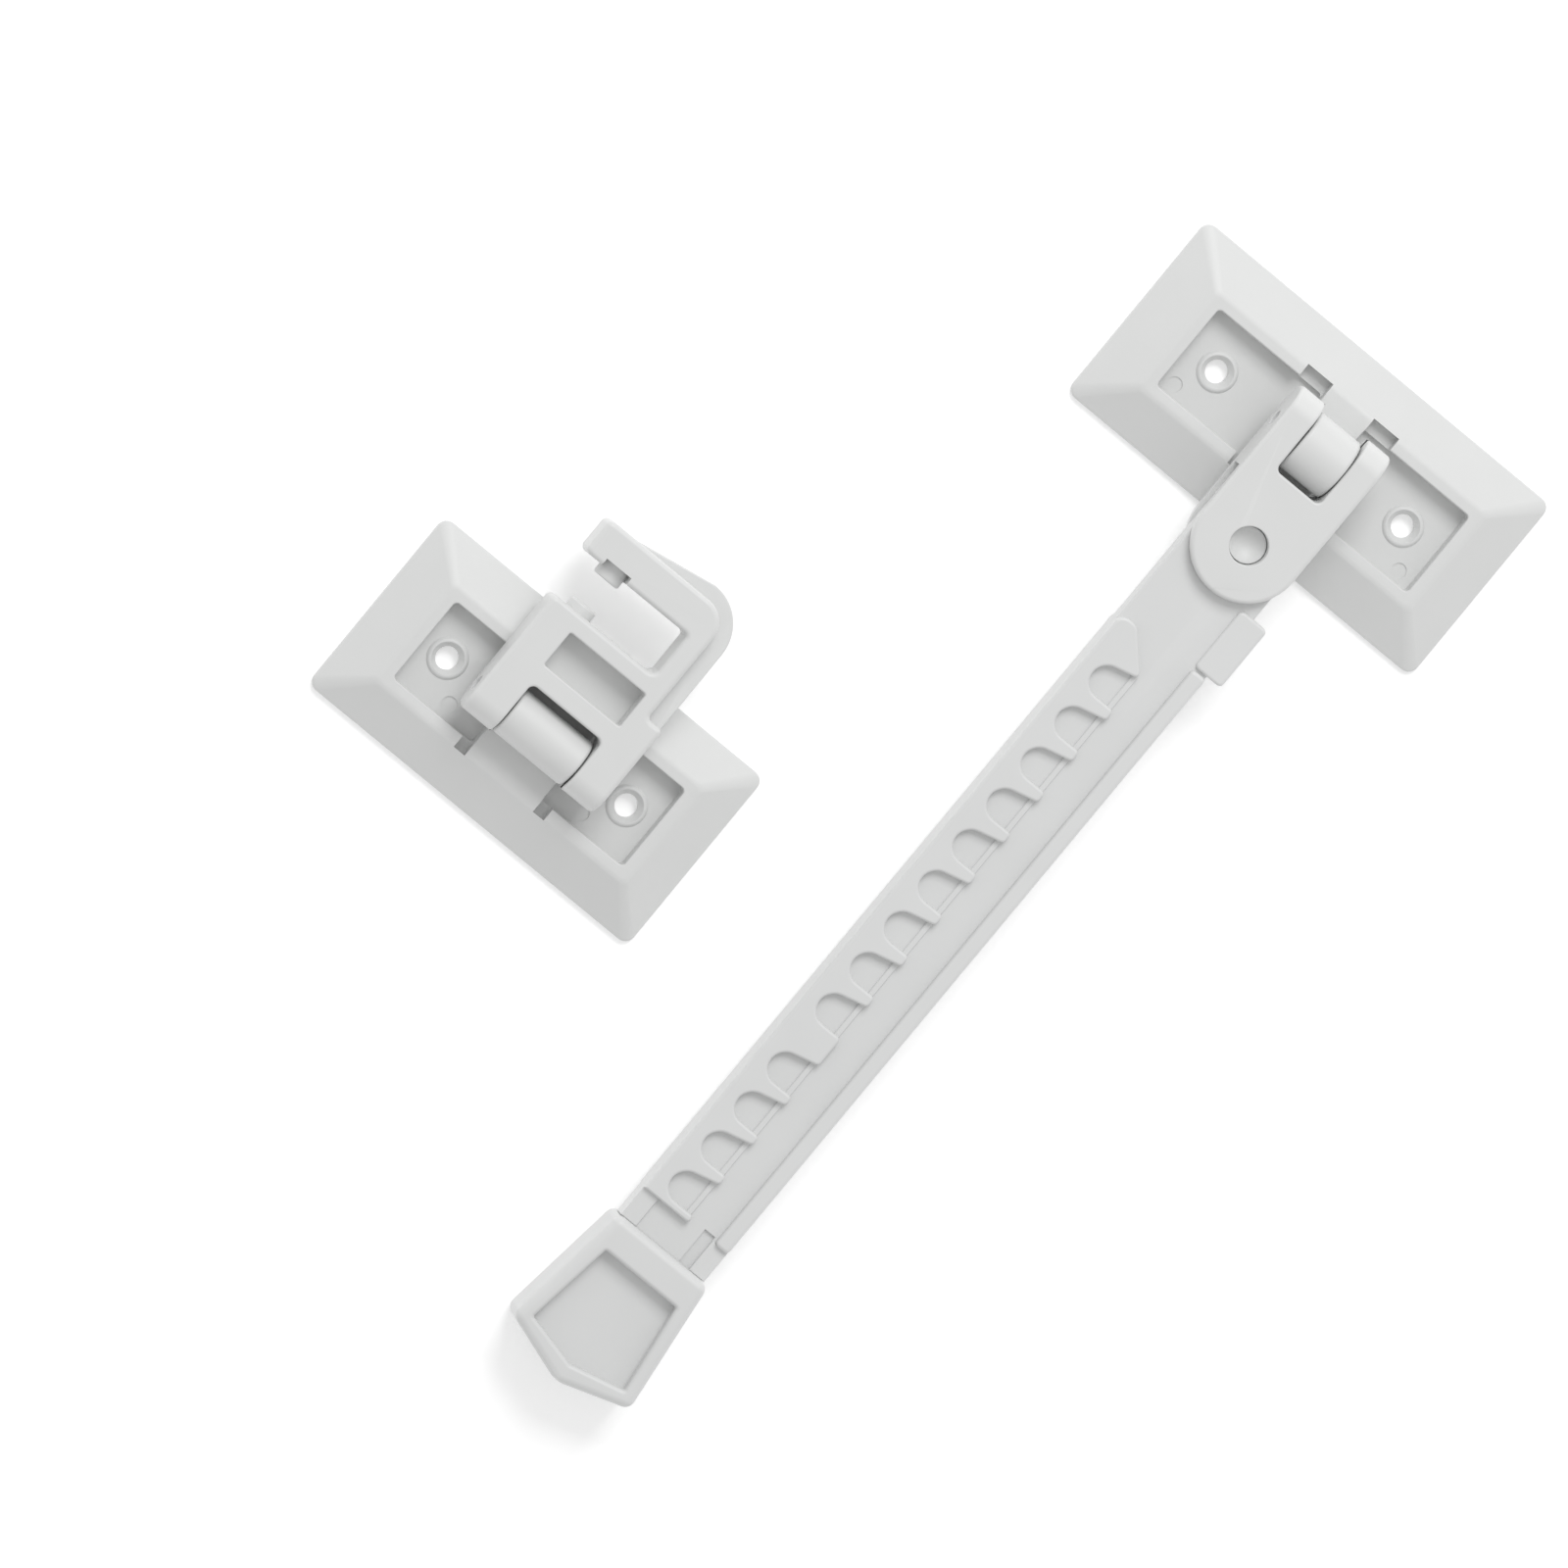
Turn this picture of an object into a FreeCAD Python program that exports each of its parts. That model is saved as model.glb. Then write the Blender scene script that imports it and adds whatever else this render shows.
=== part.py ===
import FreeCAD, Part
import math
import os

# Adjustable window restrictor stay in moulded plastic: two separate units.
# Arm unit: a screw-on base, a forked bracket hinged on it, and a notched arm that swivels in the
# fork and ends in a cap.  Catch unit: a second screw-on base with a hooked bracket hinged on it.
# In use the arm hangs in the hook's gap and the two pegs there seat in one of the arm's notches.
# Millimetres.  Origin: centre of the arm base's back face.  +X along the base, the arm points to -Y,
# +Z away from the surface that the bases are screwed to.

cut_past = 1.0                  # cutting and joining bodies run this far past the face they meet

# ---- both bases ----
base_corner_radius = 2.0
base_edge_height = 1.3          # upright edge under the bevel
lip_height = 6.2                # flat lip round the pocket
lip_corner_radius = 0.6
pocket_floor = 2.4
pocket_corner_radius = 0.8
screw_hole_radius = 2.15
screw_ring_width = 1.35
screw_ring_height = 0.5
countersink_width = 0.85
countersink_depth = 0.9
ejector_mark_depth = 0.2
lip_notch_floor = 3.6
lip_notch_overrun = 0.3         # the lip notches run this far into the bevel

# ---- arm base ----
arm_base_length = 80.0
arm_base_width = 39.2
arm_bevel_run = 8.6             # how far the bevel runs in, seen from above
arm_lip_width = 2.3
arm_screw_spacing = 43.3
arm_barrel_width = 9.5
arm_barrel_radius = 6.1
arm_mark_radius = 1.4
arm_mark_spacing = 52.2
arm_mark_offset = 6.5           # from the line through the screws

# ---- catch base ----
catch_base_length = 73.6
catch_base_width = 38.2
catch_bevel_run = 8.1
catch_lip_width = 2.3
catch_screw_spacing = 41.3
catch_barrel_width = 15.7
catch_barrel_radius = 4.7
catch_notch_width = 2.5
catch_mark_radius = 1.5
catch_mark_spacing = 30.4
catch_mark_offset = 6.1

# ---- clearances and hinge pins ----
hinge_pin_radius = 1.6
running_clearance = 0.05        # radial, pin in a bore that turns on it
side_clearance = 0.25           # barrel to ear, each side
post_inset = 0.5                # each side, the barrel's post is this much narrower
pin_end_recess = 0.6

# ---- pegs, and the clearances that the arm has in the hook ----
peg_radius = 2.7
peg_offset = 9.2                # from the hook's middle plane
peg_seat_clearance = 0.35       # radial, peg in a notch or in the channel
peg_face_clearance = 0.25       # peg to web
hook_face_clearance = 0.2       # arm to hook, each face
peg_groove_depth = 1.4
peg_groove_gap = 0.1

# ---- notched arm: distances along it are from the pivot pin ----
web_thickness = 5.2
tooth_height = 1.8              # above the web, on each face
notch_seat = 2.8                # arm's edge to notch bottoms
notch_depth = 7.3
notch_slant = 14.0              # degrees, on the side that faces the pivot
tooth_tip_radius = 0.8
tip_share = 0.43                # the tip radius is at most this part of the narrowest tooth
first_notch = 34.55
near_notches = 9
near_pitch = 9.4
group_gap = 13.4
far_notches = 4
far_pitch = 9.1
rail_start = 23.4
rail_apex_width = 3.6
end_tooth = 1.4                 # thickness of the last tooth
flange_width = 3.0
flange_start = 23.0
flange_end_radius = 0.8
tab_start = 9.5
tab_end = 22.5
tab_reach = 3.1                 # beyond the arm's edge
tab_rise = 0.9                  # above the web, on each face
tab_corner_radius = 0.9
ridge_width = 1.1
ridge_height = 0.45
ridge_inset = 0.3               # from the tooth tips
ridge_reach = 4.2               # past the first and last notch, into their teeth
neck_length = 6.4
neck_strip_width = 3.5
neck_strip_rise = 0.6
neck_groove_width = 2.3
neck_groove_depth = 0.6
tongue_inset = 2.1              # each side, from the arm's edges
tongue_length = 14.0
tongue_clearance = 0.1

# ---- forked bracket ----
ear_width = 5.3
fork_leg_thickness = 2.5
bracket_lip_clearance = 1.8
bracket_ear_reach = 7.5         # from the hinge axis to the ears' free ends
bracket_ear_radius = 4.6
bracket_window_radius = 1.2
bracket_window_gap = 0.9        # between the barrel and the fork's root
pivot_distance = 20.3           # hinge axis to pivot pin
slot_clearance = 0.2            # arm web to fork, each face
slot_end_clearance = 0.4

# ---- pivot pin ----
pivot_pin_radius = 3.3
pivot_window_gap = 0.2          # ring of free space round the pin in the fork's upper leg
pivot_pin_recess = 0.5          # of the lower end
pivot_head_recess = 2.0         # of the dished upper end
pivot_dish_depth = 1.2
pivot_dish_rim = 0.3

# ---- end cap ----
cap_side_length = 25.6
cap_point_length = 4.4
cap_overhang = 0.7              # wider than the arm, each side, where it starts
cap_flare = 3.2                 # further out, each side, where it is widest
cap_thickness = 14.4
cap_shoulder_radius = 1.2
cap_corner_radius = 0.6
cap_rim_width = 3.0
cap_front_rim = 6.4
cap_point_rim = 4.0
cap_corner_rim = 2.1
cap_recess_depth = 3.0
cap_recess_radius = 0.4

# ---- hooked bracket: distances are from its hinge axis ----
hook_ear_width = 7.1
hook_thickness = 9.8
hook_lip_clearance = 0.3
hook_ear_radius = 4.0
hook_ear_margin = 0.05          # the ears reach this much further than half the thickness
hook_window_radius = 1.2
hook_window_gap = 1.4           # between the barrel and the body
hook_body_reach = 20.8
hook_gap_end = 7.7              # inner end of the gap, from the middle plane
hook_gap_radius = 0.8
hook_arm_width = 7.2
hook_tip = 15.9
hook_tip_radius = 1.2
hook_limb_width = 4.0
hook_limb_radius = 4.9
hook_step_reach = 14.2
hook_step_radius = 0.9
rib_thickness = 2.2
rib_corner_radius = 8.7
rib_rise = 2.7                  # above the hook's arm, where the rib is highest
rib_taper_end = 9.1
body_recess_width = 17.3
body_recess_start = 10.0
body_recess_end = 17.3
body_recess_depth = 5.0
body_recess_radius = 0.4

# ---- where the catch unit lies beside the arm unit ----
catch_x = -74.4
catch_y = -125.4

# ---- values that follow ----
screw_ring_radius = screw_hole_radius + screw_ring_width
arm_thickness = web_thickness + 2 * tooth_height
notch_radius = peg_radius + peg_seat_clearance
channel_width = 2 * (peg_radius + peg_seat_clearance)
tooth_reach = notch_seat + notch_depth
arm_width = tooth_reach + channel_width + flange_width
arm_half = arm_width / 2
bracket_window_width = arm_barrel_width + 2 * side_clearance
bracket_window_reach = arm_barrel_radius + bracket_window_gap
bracket_width = bracket_window_width + 2 * ear_width
bracket_half = bracket_width / 2
slot_height = web_thickness + 2 * slot_clearance
bracket_thickness = slot_height + 2 * fork_leg_thickness
slot_back = pivot_distance - arm_half - slot_end_clearance
arm_axis_height = lip_height + bracket_thickness / 2 + bracket_lip_clearance
catch_axis_height = lip_height + hook_thickness / 2 + hook_lip_clearance
hook_window_width = catch_barrel_width + 2 * side_clearance
hook_half = hook_window_width / 2 + hook_ear_width
hook_ear_reach = hook_thickness / 2 + hook_ear_margin
hook_window_reach = catch_barrel_radius + hook_window_gap
hook_gap = arm_thickness + 2 * hook_face_clearance
peg_reach = (hook_gap - web_thickness) / 2 - peg_face_clearance
hook_arm_start = hook_body_reach + hook_gap
hook_arm_end = hook_arm_start + hook_arm_width
hook_limb_edge = hook_gap_end + hook_limb_width
near_places = [first_notch + index * near_pitch for index in range(near_notches)]
far_places = [near_places[-1] + group_gap + index * far_pitch for index in range(far_notches)]
notch_places = near_places + far_places
rail_end = notch_places[-1] + notch_radius + end_tooth
cap_start = rail_end + neck_length
cap_end = cap_start + cap_side_length + cap_point_length
cap_top_width = arm_width + 2 * cap_overhang
cap_bottom_width = cap_top_width + 2 * cap_flare
tongue_width = arm_width - 2 * tongue_inset
cap_reach = pivot_distance + cap_end

# The arm droops a little, so that the cap's lower corner comes down to the bases' back plane.
arm_droop = math.degrees(
    math.asin(arm_axis_height / math.hypot(cap_reach, cap_thickness / 2))
    - math.atan2(cap_thickness / 2, cap_reach)
)


def point(x, y, z=0.0):
    return FreeCAD.Vector(x, y, z)


def box(x_low, x_high, y_low, y_high, z_low, z_high):
    size = (x_high - x_low, y_high - y_low, z_high - z_low)
    return Part.makeBox(size[0], size[1], size[2], point(x_low, y_low, z_low))


def cylinder_x(radius, x_low, x_high, y, z):
    return Part.makeCylinder(radius, x_high - x_low, point(x_low, y, z), point(1, 0, 0))


def cylinder_y(radius, y_low, y_high, x, z):
    return Part.makeCylinder(radius, y_high - y_low, point(x, y_low, z), point(0, 1, 0))


def cylinder_z(radius, z_low, z_high, x, y):
    return Part.makeCylinder(radius, z_high - z_low, point(x, y, z_low), point(0, 0, 1))


def rounded_wire(corners, z=0.0):
    """Closed wire through (x, y, radius) corners; a radius above zero rounds its corner."""
    turns = []
    for index, (x, y, radius) in enumerate(corners):
        here = point(x, y, z)
        before = point(corners[index - 1][0], corners[index - 1][1], z)
        following = corners[(index + 1) % len(corners)]
        after = point(following[0], following[1], z)
        back = (before - here).normalize()
        ahead = (after - here).normalize()
        if radius == 0:
            turns.append((here, None, here))
            continue
        half_angle = back.getAngle(ahead) / 2
        setback = radius / math.tan(half_angle)
        inward = (back + ahead).normalize()
        to_arc = radius / math.sin(half_angle) - radius
        turns.append((here + back * setback, here + inward * to_arc, here + ahead * setback))
    edges = []
    for index, (start, middle, end) in enumerate(turns):
        if middle is not None:
            edges.append(Part.Arc(start, middle, end).toShape())
        next_start = turns[(index + 1) % len(turns)][0]
        if end.distanceToPoint(next_start) > 1e-5:
            edges.append(Part.LineSegment(end, next_start).toShape())
    return Part.Wire(edges)


def prism(corners, z_low, z_high):
    face = Part.Face(rounded_wire(corners, z_low))
    return face.extrude(point(0, 0, z_high - z_low))


def rectangle(x_low, x_high, y_low, y_high, radius=0.0):
    return [
        (x_low, y_low, radius),
        (x_high, y_low, radius),
        (x_high, y_high, radius),
        (x_low, y_high, radius),
    ]


def bevelled_plate(length, width, bevel_run):
    """The base's outer shape: an upright edge, then bevels that rise to the lip."""
    half_length = length / 2
    half_width = width / 2
    foot = rectangle(-half_length, half_length, -half_width, half_width, base_corner_radius)
    top = rectangle(
        bevel_run - half_length,
        half_length - bevel_run,
        bevel_run - half_width,
        half_width - bevel_run,
        lip_corner_radius,
    )
    edge = prism(foot, 0, base_edge_height)
    wires = [rounded_wire(foot, base_edge_height), rounded_wire(top, lip_height)]
    return edge.fuse(Part.makeLoft(wires, True, True))


def screw_seat(x, floor_height):
    """Raised ring round a screw hole, and the countersunk hole to cut through it."""
    ring_top = floor_height + screw_ring_height
    ring = cylinder_z(screw_ring_radius, floor_height, ring_top, x, 0)
    hole = cylinder_z(screw_hole_radius, -cut_past, ring_top + cut_past, x, 0)
    dish = Part.makeCone(
        screw_hole_radius,
        screw_hole_radius + countersink_width,
        countersink_depth,
        point(x, 0, ring_top - countersink_depth),
    )
    return ring, hole.fuse(dish)


def hinged_base(
    length, width, bevel_run, lip_width, screw_spacing,
    barrel_width, barrel_radius, axis_height, notch_outer, mark_radius, mark_spacing, mark_offset,
):
    """A bevelled base with a pocket each side of its saddle, and the hinge barrel on the saddle."""
    half_saddle = barrel_width / 2
    half_pocket = width / 2 - bevel_run - lip_width
    pocket_end = length / 2 - bevel_run - lip_width
    notch_reach = half_pocket + lip_width + lip_notch_overrun
    mark_low = pocket_floor - ejector_mark_depth
    base = bevelled_plate(length, width, bevel_run)
    for side in (-1, 1):
        near, far = sorted((side * half_saddle, side * pocket_end))
        pocket = rectangle(near, far, -half_pocket, half_pocket, pocket_corner_radius)
        base = base.cut(prism(pocket, pocket_floor, axis_height))
        near, far = sorted((side * half_saddle, side * notch_outer))
        notch = box(near, far, -notch_reach, notch_reach, lip_notch_floor, axis_height)
        ring, hole = screw_seat(side * screw_spacing / 2, pocket_floor)
        mark_x = side * mark_spacing / 2
        mark = cylinder_z(mark_radius, mark_low, pocket_floor + cut_past, mark_x, -mark_offset)
        base = base.cut([notch, mark]).fuse(ring).cut(hole)
    post_half = barrel_radius - post_inset
    post = box(-half_saddle, half_saddle, -post_half, post_half, pocket_floor, axis_height)
    barrel = cylinder_x(barrel_radius, -half_saddle, half_saddle, 0, axis_height)
    bore_radius = hinge_pin_radius + running_clearance
    bore = cylinder_x(bore_radius, -half_saddle - cut_past, half_saddle + cut_past, 0, axis_height)
    return base.fuse([post, barrel]).cut(bore).removeSplitter()


def side_profile(reach_low, reach_high, half_thickness, end_radius, half_width, round_low):
    """A block over the bracket's whole width whose free ends are rounded, seen along the hinge."""
    low_radius = end_radius if round_low else 0.0
    high_radius = 0.0 if round_low else end_radius
    outline = [
        (reach_low, -half_thickness, low_radius),
        (reach_high, -half_thickness, high_radius),
        (reach_high, half_thickness, high_radius),
        (reach_low, half_thickness, low_radius),
    ]
    block = prism(outline, -half_width, half_width)
    # The profile is drawn in its own X and Y: they become the row's Y and Z.
    block.rotate(point(0, 0, 0), point(1, 1, 1), 120)
    return block


def forked_bracket():
    """Ears round the arm base's barrel, and a two-legged fork that holds the arm's end."""
    half_thickness = bracket_thickness / 2
    fork_end = -pivot_distance - bracket_half
    outline = [
        (-bracket_half, fork_end, bracket_half),
        (bracket_half, fork_end, bracket_half),
        (bracket_half, bracket_ear_reach, 0.0),
        (-bracket_half, bracket_ear_reach, 0.0),
    ]
    body = prism(outline, -half_thickness, half_thickness)
    ends = side_profile(
        fork_end - cut_past, bracket_ear_reach, half_thickness, bracket_ear_radius, bracket_half, False
    )
    body = body.common(ends)
    window_half = bracket_window_width / 2
    window = [
        (-window_half, -bracket_window_reach, bracket_window_radius),
        (window_half, -bracket_window_reach, bracket_window_radius),
        (window_half, bracket_ear_reach + cut_past, 0.0),
        (-window_half, bracket_ear_reach + cut_past, 0.0),
    ]
    body = body.cut(prism(window, -half_thickness - cut_past, half_thickness + cut_past))
    slot = box(
        -bracket_half - cut_past, bracket_half + cut_past, fork_end - cut_past, -slot_back,
        -slot_height / 2, slot_height / 2,
    )
    body = body.cut(slot)
    pin_bore = cylinder_x(hinge_pin_radius, -bracket_half - cut_past, bracket_half + cut_past, 0, 0)
    press_hole = cylinder_z(pivot_pin_radius, -half_thickness - cut_past, 0, 0, -pivot_distance)
    window_radius = pivot_pin_radius + pivot_window_gap
    free_hole = cylinder_z(window_radius, 0, half_thickness + cut_past, 0, -pivot_distance)
    return body.cut(pin_bore.fuse([press_hole, free_hole]))


def hinge_pin(bracket_span):
    half_length = bracket_span / 2 - pin_end_recess
    return cylinder_x(hinge_pin_radius, -half_length, half_length, 0, 0)


def pivot_pin():
    """Plain round pin through the fork and the arm, with a dished upper end."""
    lower_end = pivot_pin_recess - bracket_thickness / 2
    upper_end = bracket_thickness / 2 - pivot_head_recess
    pin = cylinder_z(pivot_pin_radius, lower_end, upper_end, 0, -pivot_distance)
    dish_rim_radius = pivot_pin_radius - pivot_dish_rim
    ball_radius = (dish_rim_radius ** 2 + pivot_dish_depth ** 2) / (2 * pivot_dish_depth)
    ball_height = upper_end - pivot_dish_depth + ball_radius
    dish = Part.makeSphere(ball_radius, point(0, -pivot_distance, ball_height))
    return pin.cut(dish)


def tooth_rail():
    """The toothed rail along one edge of the arm, as high as the arm is thick."""
    edge = -arm_half
    tips = edge + tooth_reach
    seat = edge + notch_seat
    rise = (tooth_reach - notch_seat) * math.tan(math.radians(notch_slant))
    # Where the slanted side would meet the seat line, measured from the notch's middle.
    slanted = notch_radius * math.tan(math.radians(45 - notch_slant / 2))
    narrowest_tooth = min(near_pitch, far_pitch) - slanted - rise - notch_radius
    tip_radius = min(tooth_tip_radius, tip_share * narrowest_tooth)
    corners = [
        (edge, -rail_start, rail_apex_width / 2),
        (edge + rail_apex_width, -rail_start, rail_apex_width / 2),
    ]
    for number, place in enumerate(notch_places):
        upper_radius = tip_radius if number > 0 else tip_radius / 2
        corners.append((tips, -(place - slanted - rise), upper_radius))
        corners.append((seat, -(place - slanted), notch_radius))
        corners.append((seat, -(place + notch_radius), notch_radius))
        corners.append((tips, -(place + notch_radius), tip_radius))
    corners.append((tips, -rail_end, tip_radius / 2))
    corners.append((edge, -rail_end, 0.0))
    return prism(corners, -arm_thickness / 2, arm_thickness / 2)


def notched_arm():
    """Flat web with a toothed rail, a plain flange and a stop tab, alike on both faces."""
    half_web = web_thickness / 2
    half_thickness = arm_thickness / 2
    web = prism(
        [
            (-arm_half, arm_half, arm_half),
            (-arm_half, -cap_start, 0.0),
            (arm_half, -cap_start, 0.0),
            (arm_half, arm_half, arm_half),
        ],
        -half_web,
        half_web,
    )
    tongue_half = tongue_width / 2
    tongue_end = -cap_start - tongue_length
    tongue = box(-tongue_half, tongue_half, tongue_end, -cap_start, -half_web, half_web)
    flange = prism(
        rectangle(arm_half - flange_width, arm_half, -rail_end, -flange_start, flange_end_radius),
        -half_thickness,
        half_thickness,
    )
    tab = prism(
        rectangle(
            arm_half - flange_width, arm_half + tab_reach, -tab_end, -tab_start, tab_corner_radius
        ),
        -half_web - tab_rise,
        half_web + tab_rise,
    )
    ridge_end = tooth_reach - arm_half - ridge_inset
    ridge = box(
        ridge_end - ridge_width, ridge_end,
        -notch_places[-1] - ridge_reach, ridge_reach - notch_places[0],
        -half_web - ridge_height, half_web + ridge_height,
    )
    neck_half = half_web + neck_strip_rise
    strips = []
    for low in (-arm_half, arm_half - neck_strip_width):
        high = low + neck_strip_width
        strips.append(box(low, high, -cap_start, -rail_end, -neck_half, neck_half))
    arm = web.fuse([tongue, flange, tab, ridge, tooth_rail()] + strips)
    groove_high = arm_half - neck_strip_width
    groove_low = groove_high - neck_groove_width
    for face in (-1, 1):
        bottom, top = sorted((face * (half_web - neck_groove_depth), face * (half_web + cut_past)))
        arm = arm.cut(box(groove_low, groove_high, -cap_start, -rail_end + cut_past, bottom, top))
    bore_radius = pivot_pin_radius + running_clearance
    arm = arm.cut(cylinder_z(bore_radius, -half_thickness, half_thickness, 0, 0))
    return arm.removeSplitter()


def end_cap():
    """Five-sided cap, wider towards its end, with a sunk panel in each face."""
    half_thickness = cap_thickness / 2
    side_end = -cap_start - cap_side_length
    body = prism(
        [
            (-cap_top_width / 2, -cap_start, cap_shoulder_radius),
            (-cap_bottom_width / 2, side_end, cap_corner_radius),
            (0, -cap_end, cap_shoulder_radius),
            (cap_bottom_width / 2, side_end, cap_corner_radius),
            (cap_top_width / 2, -cap_start, cap_shoulder_radius),
        ],
        -half_thickness,
        half_thickness,
    )
    flare_at_panel = cap_flare * cap_front_rim / cap_side_length
    top_half = cap_top_width / 2 + flare_at_panel - cap_rim_width
    low_half = cap_bottom_width / 2 - cap_rim_width
    panel = [
        (-top_half, -cap_start - cap_front_rim, cap_recess_radius),
        (-low_half, side_end + cap_corner_rim, cap_recess_radius),
        (0, -cap_end + cap_point_rim, cap_recess_radius),
        (low_half, side_end + cap_corner_rim, cap_recess_radius),
        (top_half, -cap_start - cap_front_rim, cap_recess_radius),
    ]
    for face in (-1, 1):
        low, high = sorted((face * (half_thickness - cap_recess_depth), face * (half_thickness + cut_past)))
        body = body.cut(prism(panel, low, high))
    socket_half = tongue_width / 2 + tongue_clearance
    socket_end = -cap_start - tongue_length - tongue_clearance
    socket_rise = web_thickness / 2 + tongue_clearance
    socket = box(
        -socket_half, socket_half, socket_end, -cap_start + cut_past, -socket_rise, socket_rise
    )
    return body.cut(socket)


def hook_outline():
    """Full-thickness outline of the hooked bracket, its gap open to -X."""
    return [
        (-hook_half, -hook_ear_reach, 0.0),
        (hook_half, -hook_ear_reach, 0.0),
        (hook_half, hook_step_reach, 0.0),
        (hook_limb_edge, hook_step_reach, hook_step_radius),
        (hook_limb_edge, hook_arm_end, hook_limb_radius),
        (-hook_tip, hook_arm_end, hook_tip_radius),
        (-hook_tip, hook_arm_start, hook_tip_radius),
        (hook_gap_end, hook_arm_start, hook_gap_radius),
        (hook_gap_end, hook_body_reach, hook_gap_radius),
        (-hook_half, hook_body_reach, hook_tip_radius),
    ]


def outer_rib():
    """Thin rib in the middle plane, round the hook's back."""
    return prism(
        [
            (hook_gap_end, hook_step_reach - cut_past, 0.0),
            (hook_half, hook_step_reach - cut_past, 0.0),
            (hook_half, hook_arm_end + rib_rise, rib_corner_radius),
            (hook_half - rib_corner_radius, hook_arm_end + rib_rise, 0.0),
            (-rib_taper_end, hook_arm_end, 0.0),
            (-rib_taper_end, hook_arm_end - cut_past, 0.0),
            (hook_gap_end, hook_arm_end - cut_past, 0.0),
        ],
        -rib_thickness / 2,
        rib_thickness / 2,
    )


def hooked_bracket():
    """Ears round the catch base's barrel, and a hook whose two pegs face each other."""
    half_thickness = hook_thickness / 2
    body = prism(hook_outline(), -half_thickness, half_thickness)
    ends = side_profile(
        -hook_ear_reach, hook_arm_end + cut_past, half_thickness, hook_ear_radius, 2 * hook_half, True
    )
    body = body.common(ends).fuse(outer_rib())
    window_half = catch_barrel_width / 2 + side_clearance
    window = [
        (-window_half, -hook_ear_reach - cut_past, 0.0),
        (window_half, -hook_ear_reach - cut_past, 0.0),
        (window_half, hook_window_reach, hook_window_radius),
        (-window_half, hook_window_reach, hook_window_radius),
    ]
    body = body.cut(prism(window, -half_thickness - cut_past, half_thickness + cut_past))
    recess_half = body_recess_width / 2
    recess = rectangle(
        -recess_half, recess_half, body_recess_start, body_recess_end, body_recess_radius
    )
    body = body.cut(prism(recess, half_thickness - body_recess_depth, half_thickness + cut_past))
    groove_half = peg_radius + peg_groove_gap
    groove = box(
        -peg_offset - groove_half, -peg_offset + groove_half,
        hook_arm_start - cut_past, hook_arm_start + peg_groove_depth,
        -half_thickness - cut_past, half_thickness + cut_past,
    )
    body = body.cut(groove)
    outer_peg = cylinder_y(
        peg_radius, hook_arm_start - peg_reach, hook_arm_start + peg_groove_depth + cut_past,
        -peg_offset, 0,
    )
    inner_peg = cylinder_y(
        peg_radius, hook_body_reach - cut_past, hook_body_reach + peg_reach, -peg_offset, 0
    )
    pin_bore = cylinder_x(hinge_pin_radius, -hook_half - cut_past, hook_half + cut_past, 0, 0)
    return body.fuse([outer_peg, inner_peg]).cut(pin_bore).removeSplitter()


def hang_on_arm_hinge(shape):
    """Move a shape drawn about the hinge axis up to the arm base's hinge, and droop it."""
    placed = shape.copy()
    placed.rotate(point(0, 0, 0), point(1, 0, 0), arm_droop)
    placed.translate(point(0, 0, arm_axis_height))
    return placed


def beyond_pivot(shape):
    """Move a shape drawn about the pivot out to the pivot's place on the bracket."""
    placed = shape.copy()
    placed.translate(point(0, -pivot_distance, 0))
    return placed


def on_catch_hinge(shape):
    placed = shape.copy()
    placed.translate(point(catch_x, catch_y, catch_axis_height))
    return placed


def arm_base():
    return hinged_base(
        arm_base_length, arm_base_width, arm_bevel_run, arm_lip_width, arm_screw_spacing,
        arm_barrel_width, arm_barrel_radius, arm_axis_height,
        bracket_half + side_clearance, arm_mark_radius, arm_mark_spacing, arm_mark_offset,
    )


def catch_base():
    base = hinged_base(
        catch_base_length, catch_base_width, catch_bevel_run, catch_lip_width,
        catch_screw_spacing, catch_barrel_width, catch_barrel_radius, catch_axis_height,
        catch_barrel_width / 2 + catch_notch_width,
        catch_mark_radius, catch_mark_spacing, catch_mark_offset,
    )
    base.translate(point(catch_x, catch_y, 0))
    return base


def build():
    return {
        "arm_base": arm_base(),
        "arm_hinge_pin": hang_on_arm_hinge(hinge_pin(bracket_width)),
        "forked_bracket": hang_on_arm_hinge(forked_bracket()),
        "pivot_pin": hang_on_arm_hinge(pivot_pin()),
        "notched_arm": hang_on_arm_hinge(beyond_pivot(notched_arm())),
        "end_cap": hang_on_arm_hinge(beyond_pivot(end_cap())),
        "catch_base": catch_base(),
        "catch_hinge_pin": on_catch_hinge(hinge_pin(2 * hook_half)),
        "hooked_bracket": on_catch_hinge(hooked_bracket()),
    }


os.makedirs("parts", exist_ok=True)
for name, shape in build().items():
    solid = shape.Solids[0]
    if len(shape.Solids) != 1 or not solid.isValid():
        raise RuntimeError(name + " is not one valid solid")
    solid.exportStep("parts/" + name + ".step")
    limits = solid.BoundBox
    print("%-16s %8.0f mm3  x %.1f..%.1f  y %.1f..%.1f  z %.2f..%.2f" % (
        name, solid.Volume, limits.XMin, limits.XMax, limits.YMin, limits.YMax,
        limits.ZMin, limits.ZMax,
    ))
print("arm droop %.3f degrees" % arm_droop)
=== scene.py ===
import math

import bpy
from mathutils import Matrix, Vector


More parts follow.
